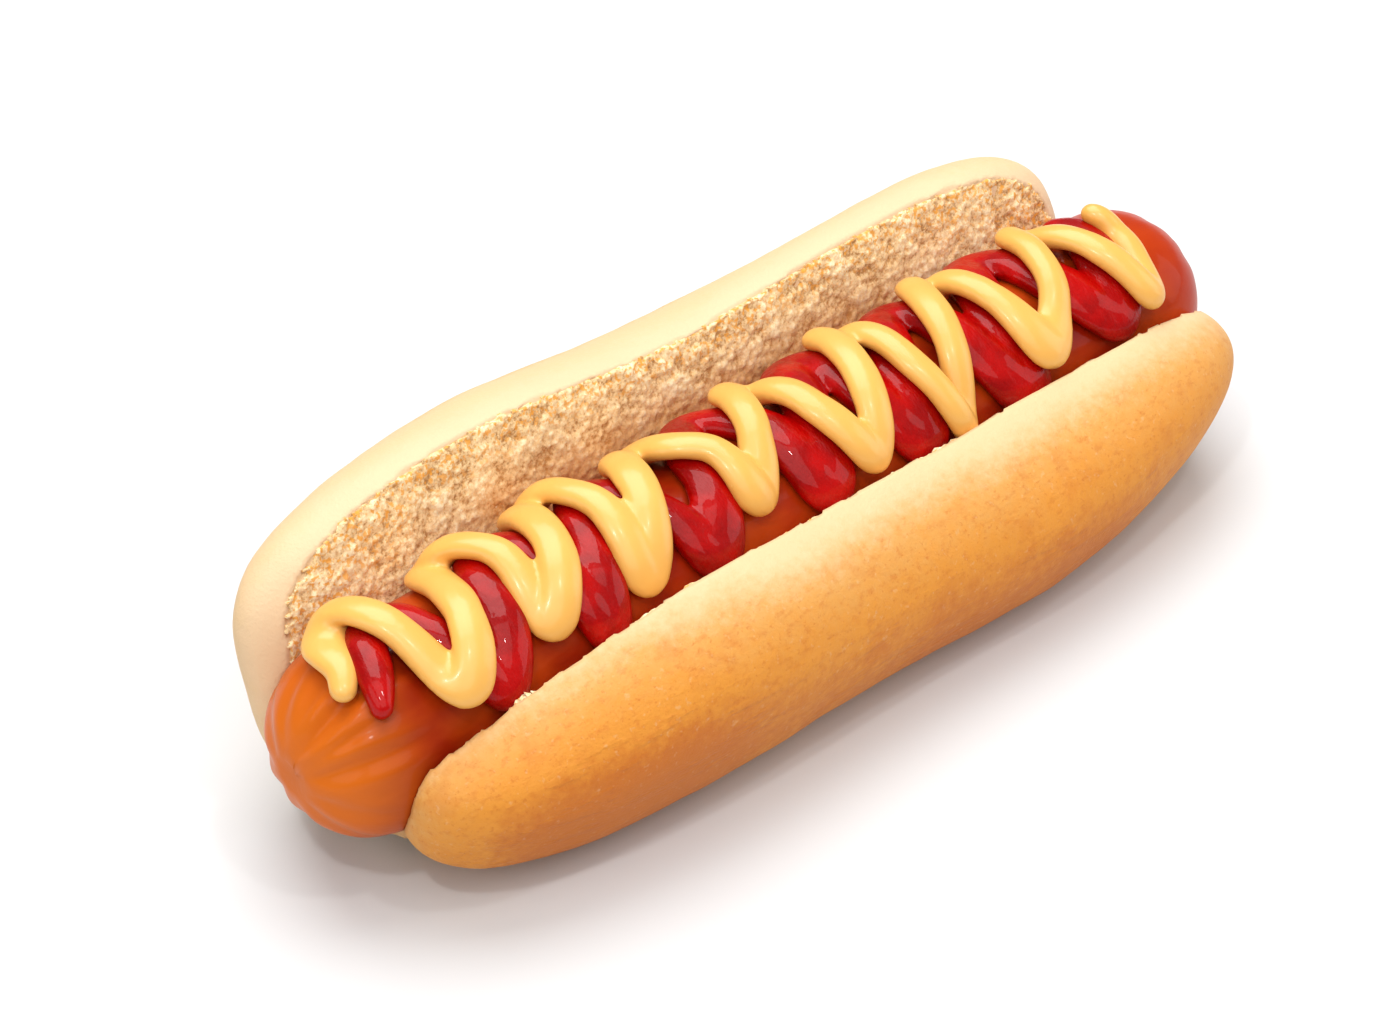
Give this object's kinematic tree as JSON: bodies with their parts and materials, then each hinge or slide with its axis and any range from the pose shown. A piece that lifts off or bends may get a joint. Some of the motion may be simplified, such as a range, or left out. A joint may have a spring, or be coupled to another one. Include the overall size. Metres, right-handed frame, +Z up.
{
  "type": "hot dog",
  "caption": "Hot dog: a frankfurter in a split soft roll, with a zigzag of ketchup and a thinner zigzag of mustard along its top.",
  "frame": {"origin": "on the surface that it rests on, under the middle of the whole hot dog's box", "axes": "+X along the sausage towards its smooth end, +Y towards the high half of the roll, +Z up"},
  "size_m": [0.1494, 0.0578, 0.0382],
  "materials": {
    "bun": "baked golden crust, soft crumb on the cut faces",
    "sausage": "smooth moist skin",
    "ketchup": "wet gloss",
    "mustard": "soft gloss"
  },
  "bodies": {
    "root": {"bun": "bun", "sausage": "sausage", "ketchup": "ketchup", "mustard": "mustard"}
  },
  "joints": []
}
